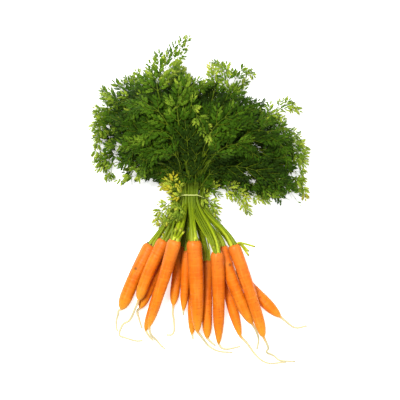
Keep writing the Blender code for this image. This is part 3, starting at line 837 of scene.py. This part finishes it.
SIDE_RIB_RADII = (0.00045, 0.0002)


def add_leaflet(spray, point, way, facing, size, tint):
    """A leaflet bent to stay above the table and under the highest leaves."""
    way = way.normalized()
    way.z = clamp(way.z, (LOWEST - point.z) / size, (HIGHEST - point.z) / size)
    middle = (point + way * size * 0.5) / MM
    if all(dist(middle[:2], (x, y)) > radius for x, y, radius in GAPS):
        spray.add(point, way.normalized(), facing, size=size, tint=tint)


def spot_on(line, share):
    """Point and direction at this share of a line of evenly spaced points."""
    at = share * (len(line) - 1)
    low = min(int(at), len(line) - 2)
    return line[low].lerp(line[low + 1], at - low), (line[low + 1] - line[low]).normalized()


def side_rib(spray, start, heading, facing, length, draw, tint, forward):
    """One side rib of a leaf with its pairs of leaflets, shortening towards the end."""
    line = [start]
    direction, sag = heading.copy(), draw.uniform(0.02, 0.3)
    for step in range(SIDE_RIB_STEPS):
        fall = Vector((0, 0, -sag * step / SIDE_RIB_STEPS))
        direction = (direction + forward * 0.1 + fall).normalized()
        line.append(line[-1] + direction * length / SIDE_RIB_STEPS)
    for point in line:
        point.z = clamp(point.z, LOWEST, CEILING)
    radii = [mix(*SIDE_RIB_RADII, share) for share in shares_of(SIDE_RIB_STEPS)]
    spray.line(line, radii, tint * 0.5, [1.0] * len(line))
    pairs = max(2, round(length / LEAFLET_PITCH))
    facing = turn_about(facing, heading, draw.uniform(-0.45, 0.45))
    scale = (length / USUAL_RIB) ** 0.35
    for pair in range(pairs):
        share = (pair + 0.6) / (pairs + 0.5)
        point, along = spot_on(line, share)
        side = along.cross(facing).normalized()
        over = side.cross(along)
        size = mix(*LEAFLET_SIZES, (1 - share) ** 0.7) * scale * draw.uniform(0.9, 1.1)
        for hand in (1, -1):
            spread = radians(draw.uniform(26, 38))
            way = along * cos(spread) + side * hand * sin(spread) + over * draw.uniform(-0.08, 0.16)
            tilt = turn_about(over, along, hand * draw.uniform(-0.2, 0.5))
            add_leaflet(spray, point, way, tilt, size, tint + draw.uniform(-0.15, 0.15) + 0.06 * share)
    add_leaflet(spray, line[-1], direction, facing, TIP_LEAFLET * scale, tint + 0.05)


RIB_PITCH = 0.0195
RIB_RADII = (0.00062, 0.00028)
END_RIB = 0.013  # length of the side rib at a leaf's tip


def frond(stalks, spray, rib, half_width, draw, tint):
    """One whole leaf along a rib of evenly spaced points."""
    shares = shares_of(len(rib) - 1)
    stalks.line(rib, [mix(*RIB_RADII, share**0.6) for share in shares], tint * 0.5,
                [mix(1.05, 1.4, share) for share in shares])
    roll = draw.uniform(-0.5, 0.5)
    length = sum((b - a).length for a, b in zip(rib, rib[1:]))
    pairs = max(3, round(length / RIB_PITCH))
    for pair in range(pairs + 1):
        share = 0.03 + 0.93 * (pair / (pairs + 0.4)) ** 0.92
        point, along = spot_on(rib, share)
        side = turn_about(along.cross(UP).normalized(), along, roll)
        over = side.cross(along)
        wide = half_width * (min(1.0, 0.75 + 1.6 * share) * 0.9 * (1 - share) ** 0.5 + 0.22)
        for hand in (1, -1):
            spread = radians(mix(52, 26, share) + draw.uniform(-7, 7))
            way = along * cos(spread) + side * hand * sin(spread) + over * draw.uniform(-0.1, 0.3)
            side_rib(spray, point, way.normalized(), over, wide * draw.uniform(0.85, 1.12), draw,
                     tint + draw.uniform(-0.05, 0.05) + 0.1 * share**2, along)
    side_rib(spray, rib[-1], (rib[-1] - rib[-2]).normalized(), over, END_RIB, draw, tint + 0.05, along)


# Single leaves that hang, reach out of the fan or fill it: number of the carrot, half-width, tint, and points
# from the stalk to the tip.
SPRIGS = (
    # Out of the rim at the top and the sides
    (14, 34, 0.56, (-76, 310, 92), (-75.5, 331, 88), (-60, 357, 74), (-36, 391, 52)),
    (10, 17, 0.56, (33, 312, 50), (33, 330, 50), (28.5, 346, 46), (20.5, 354, 42)),
    (10, 12, 0.6, (36, 305, 50), (42, 328, 48), (49, 344, 44), (58, 349, 40), (64.5, 346, 36)),
    (11, 16, 0.64, (80, 262, 50), (95, 279, 48), (112, 290, 44), (125, 295, 40), (135, 291, 36)),
    (10, 12, 0.5, (10, 310, 52), (12, 326, 50), (10, 338, 46), (8, 346, 42)),
    (11, 13, 0.52, (112, 255, 50), (128, 252, 46), (140, 244, 40), (150, 232, 34)),
    (8, 12, 0.52, (-150, 262, 44), (-164, 258, 40), (-172, 244, 34), (-176, 226, 26)),
    (11, 22, 0.5, (60, 262, 56), (85, 270, 54), (105, 268, 48), (118, 258, 40)),
    (12, 18, 0.54, (90, 240, 52), (128, 235, 48), (146, 215, 40), (149, 188, 30)),
    (12, 13, 0.54, (80, 205, 52), (120, 200, 46), (144, 184, 36), (153, 158, 24)),
    # Low at the right, beside the tie
    (7, 16, 0.62, (50, 192, 30), (70, 180, 30), (83, 166, 26), (89, 156, 18)),
    (7, 17, 0.54, (42, 176, 30), (60, 164, 28), (76, 152, 22), (88, 147, 16)),
    (6, 15, 0.52, (20, 172, 22), (34, 165, 20), (46, 160, 16), (58, 158, 12)),
    # Hanging at the left
    (8, 16, 0.56, (-90, 295, 60), (-140, 298, 52), (-165, 268, 40), (-169, 220, 26), (-161, 190, 16)),
    (8, 15, 0.5, (-110, 280, 58), (-140, 277, 52), (-160, 271, 44), (-173, 264, 36)),
    (8, 11, 0.58, (-90, 280, 64), (-122, 276, 56), (-141, 250, 42), (-150, 215, 28), (-152, 192, 18)),
    (9, 11, 0.56, (-85, 262, 60), (-108, 253, 50), (-119, 228, 38), (-121, 200, 24), (-120, 178, 16)),
    # Young, dark and dying ones round the tie
    (12, 15, 0.74, (-8, 150, 30), (1, 144, 32), (8, 134, 28), (12, 122, 22)),
    (12, 19, 0.76, (4, 160, 26), (34, 161, 34), (52, 150, 32), (61, 134, 24)),
    (13, 13, 0.84, (-46, 146, 32), (-60, 138, 32), (-72, 126, 28), (-78, 116, 20)),
    (13, 11, 0.82, (-44, 138, 34), (-54, 128, 34), (-64, 116, 30), (-70, 108, 20)),
    (13, 6, 0.22, (-38, 132, 60), (-42, 126, 64), (-47, 120, 64), (-52, 115, 58)),
    (13, 14, 0.98, (-46, 160, 40), (-54, 170, 50), (-59, 180, 52), (-65, 188, 50)),
    (13, 12, 0.92, (-40, 150, 50), (-50, 160, 52), (-57, 166, 50), (-64, 166, 44)),
    # On top of the fan, curling down
    (14, 15, 0.66, (-26, 290, 96), (-13, 270, 98), (0, 250, 96), (9, 234, 92)),
    (14, 26, 0.46, (-60, 258, 96), (-84, 288, 96), (-112, 286, 88), (-130, 262, 74)),
    (13, 26, 0.42, (-52, 236, 96), (-78, 252, 96), (-104, 240, 88), (-120, 212, 74)),
    (13, 24, 0.44, (-48, 212, 92), (-70, 222, 92), (-92, 208, 82), (-104, 186, 66)),
    (14, 26, 0.46, (-44, 262, 96), (-46, 296, 96), (-30, 318, 88), (-6, 322, 74)),
    (15, 26, 0.4, (0, 238, 94), (22, 268, 94), (50, 274, 88), (74, 256, 74)),
    (15, 24, 0.48, (10, 212, 90), (38, 230, 90), (66, 222, 82), (84, 196, 66)),
    # Deep in the heart of the bunch, darkened by low tints as painted shade
    (15, 14, 0.2, (-20, 168, 50), (-18, 188, 62), (-20, 208, 68), (-22, 224, 68)),
    (14, 14, 0.24, (-34, 166, 50), (-44, 186, 60), (-56, 202, 64), (-68, 212, 62)),
    (13, 13, 0.3, (-42, 164, 45), (-60, 178, 52), (-78, 186, 52), (-90, 186, 48)),
    (15, 13, 0.26, (-10, 166, 48), (4, 184, 56), (18, 198, 58), (30, 208, 56)),
    (12, 13, 0.34, (0, 163, 40), (20, 176, 46), (42, 184, 44), (58, 184, 40)),
    (14, 12, 0.18, (-28, 178, 60), (-32, 202, 70), (-38, 226, 74), (-46, 240, 72)),
    (11, 22, 0.46, (60, 246, 80), (88, 252, 78), (112, 236, 70), (124, 206, 56)),
)
STEM_RADIUS = 0.0006  # of a sprig, where it runs hidden below its leaf
SPRIG_STEPS = 5
RIB_STEPS = 20
FAN_EDGES = (-0.84, 0.9)  # no leaf's tip curls past these
TINTS = (0.12, 0.54)
WIDEST_LEAF = 0.036
YOUNG = 0.55  # sprigs from this tint up are young or dying, and keep their colour
sketches = []
for top in tops:
    draw = random.Random(top.index)
    stalks, spray = Sketch(), Sketch()
    for leaf in LEAVES:
        if leaf.right > 2 and top.last:
            continue
        place = top.middle + top.half * (leaf.across + draw.uniform(-0.12, 0.12))
        reach = outline_reach(place) * leaf.reach * top.row.reach * draw.uniform(0.97, 1.02)
        slot = top.tie_slot(leaf)
        points, radii, rises = stalk_points(top, leaf, place, draw)
        tint = clamp(draw.gauss(top.row.tint, 0.1), *TINTS)
        stalks.line(points, radii, draw.random(), rises)
        start, reach = leaf.start * top.row.bare, reach - TIP_LEAFLET
        curl = place * 0.24 + draw.uniform(-0.09, 0.09)
        rib = []
        for share in shares_of(RIB_STEPS):
            bent = clamp(place + curl * (share**2 - 0.5), *FAN_EDGES)
            rib.append(top.point(bent, mix(start, reach, share), slot, leaf.lift))
        frond(stalks, spray, rib, min(WIDEST_LEAF, 0.26 * (reach - start)), draw, tint)
    add_loose_stalks(stalks, top, draw)
    add_remains(stalks, top, draw)
    sketches.append((stalks, spray))


def add_sprigs(low, high):
    """Adds the sprigs whose tint lies between these."""
    for number, (index, half_width, tint, *points) in enumerate(SPRIGS):
        if low <= tint < high:
            draw = random.Random(500 + number)
            stalks, spray = sketches[index - 1]
            points = [Vector([value * MM for value in point]) for point in points]
            hidden = points[0].lerp(Vector((TIE_X, TIE_Y, 0.0)), 0.4)
            route = smooth_route([hidden, *points], SPRIG_STEPS)
            stem = route[:SPRIG_STEPS + 1]
            stalks.line(stem, [STEM_RADIUS] * len(stem), tint * 0.5, [1.1] * len(stem))
            frond(stalks, spray, route[SPRIG_STEPS:], half_width * MM, draw, tint)


add_sprigs(0.0, YOUNG)
CELL = 0.008
NEIGHBOURS = range(-4, 5)
DEPTH_SHADE, DEEPEST_SHADE = 19.0, 0.5  # painted shade: a leaflet below the highest leaves around it is darkened by this for each metre, at most by that
HEART, HEART_RADIUS, HEART_SHADE = (-0.016, 0.222), 0.058, 0.3  # painted shade in the hollow of the bunch past the tie: middle, radius and strength
RIM_LIGHT = 0.46  # leaflets at the rim are thin, open to the light and paler


def cell_of(point):
    return round(point.x / CELL), round(point.y / CELL)


# Painted shade and light on the leaflets: darker below the leaves around them and in the hollow past the tie,
# paler at the rim.
canopy = {}
for _, spray in sketches:
    for point, size in zip(spray.points, spray.values["size"]):
        if size:
            canopy[cell_of(point)] = max(canopy.get(cell_of(point), 0.0), point.z)
surroundings = {}
for i, j in canopy:
    near = [canopy[i + a, j + b] for a in NEIGHBOURS for b in NEIGHBOURS if (i + a, j + b) in canopy]
    surroundings[i, j] = max(near), len(near) / len(NEIGHBOURS) ** 2
for _, spray in sketches:
    tints = spray.values["tint"]
    for number, (point, size) in enumerate(zip(spray.points, spray.values["size"])):
        if size:
            crest, cover = surroundings[cell_of(point)]
            depth = min(DEEPEST_SHADE, (crest - point.z) * DEPTH_SHADE) * cover**3
            hollow_shade = HEART_SHADE * max(0.0, 1 - dist(point[:2], HEART) / HEART_RADIUS)
            tints[number] += RIM_LIGHT * (1 - cover) - depth - hollow_shade
add_sprigs(YOUNG, 2.0)

for top, (stalks, spray) in zip(tops, sketches):
    shared = {"Leaflet shapes": shapes, "Stalk surface": stalk_material, "Blade surface": blade_material,
              "Seed": top.index}
    for name, sketch, sides in (("stalks", stalks, STALK_SIDES), ("sprays", spray, RIB_SIDES)):
        piece = grow(f"{name}_{top.index:02d}", sketch, {**shared, "Stalk sides": sides})
        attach(piece, "root")
        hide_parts(f"top_{top.index:02d}")
for shape in list(shapes.objects):
    bpy.data.objects.remove(shape)
bpy.data.collections.remove(shapes)

# Rubber band
# One thin pale band of soft rubber, a closed ring as it comes. It is stretched round the outermost stalks,
# holds them by its own pull and leans back with them.
BAND_HALF_WIDTH = 0.0009
BAND_HALF_THICKNESS = 0.00055
BAND_DISTANCE = 0.00415  # from the middle of an outermost stalk
BAND_POINTS = 96
BAND_SIDES = 8


def band_mesh():
    slots = [top.tie_slot(leaf) for top in tops for leaf in LEAVES[:4]]
    path = []
    for step in range(BAND_POINTS):
        angle = 2 * pi * (step + 0.5) / BAND_POINTS
        out = Vector((cos(angle), sin(angle) * BAND_LEAN, sin(angle)))
        outermost = max(slots, key=lambda slot: slot.dot(out))
        path.append((outermost + out * BAND_DISTANCE, out.normalized()))
    vertices, faces = [], []
    back = Vector((0, 1, -BAND_LEAN)).normalized()
    for point, out in path:
        for side in range(BAND_SIDES):
            turn = 2 * pi * side / BAND_SIDES
            vertices.append(point + out * cos(turn) * BAND_HALF_THICKNESS
                            + back * sin(turn) * BAND_HALF_WIDTH)
    for i in range(BAND_POINTS):
        a, b = i * BAND_SIDES, (i + 1) % BAND_POINTS * BAND_SIDES
        for side in range(BAND_SIDES):
            after = (side + 1) % BAND_SIDES
            faces.append((a + side, b + side, b + after, a + after))
    return surface("rubber_tie", vertices, faces)


def band_finish():
    rubber = Finish("pale_rubber", 0.4)
    specks = rubber.noise(rubber.place(), 700.0, 3.0)
    color = rubber.blend(specks.between(0.35, 0.7), (0.4, 0.46, 0.11), (0.54, 0.58, 0.18))
    return rubber.finish(color, 0.42 + specks * 0.2, specks, 0.0002, 0.3)


band = add_object("rubber_tie", band_mesh(), band_finish())
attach(band, "root")
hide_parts("rubber_band")

# Table, light and camera
# A plain white table, painted matt and so bright that it hardly shows a shadow. Soft light falls from above,
# and the camera looks straight down on the bunch.
CAMERA_HEIGHT = 3.0
PICTURE_WIDTH = 0.64
PICTURE_MIDDLE = (-0.0112, 0.144)
TABLE_HALF = 3.0
AIM = (0, 0.1, 0)

corners = [(x * TABLE_HALF, y * TABLE_HALF, 0) for x, y in ((-1, -1), (1, -1), (1, 1), (-1, 1))]
white = Finish("white_table", 0.1, Roughness=0.8, Emission_Strength=0.6, Emission_Color=(1.0, 1.0, 1.0, 1.0))
paint = white.blend(white.noise(white.place(), 3.0), (0.83, 0.83, 0.83), (0.85, 0.85, 0.85))
add_object("table_top", surface("table_top", corners, [(0, 1, 2, 3)]), white.finish(paint))


def soft_light(name, place, size, power):
    light = bpy.data.lights.new(name, "AREA")
    light.shape, light.size, light.energy = "SQUARE", size, power
    lamp = add_object(name, light)
    lamp.location = place
    lamp.rotation_mode = "QUATERNION"
    lamp.rotation_quaternion = (Vector(AIM) - Vector(place)).to_track_quat("-Z", "Y")
    lamp.visible_camera = False


soft_light("light_main", (-0.6, 0.8, 2.0), 0.6, 71)
soft_light("light_fill", (1.3, -0.4, 1.7), 1.6, 16)
world = bpy.data.worlds.new("room")
world.use_nodes = True
sky = world.node_tree.nodes["Background"].inputs
sky["Color"].default_value, sky["Strength"].default_value = (1.0, 1.0, 1.0, 1.0), 0.5
scene.world = world
scene.view_settings.view_transform = "Standard"

lens = bpy.data.cameras.new("camera")
lens.sensor_width = 36.0
lens.lens = lens.sensor_width * CAMERA_HEIGHT / PICTURE_WIDTH
lens.clip_end = 20.0
camera = add_object("camera", lens)
camera.location = (*PICTURE_MIDDLE, CAMERA_HEIGHT)
scene.camera = camera
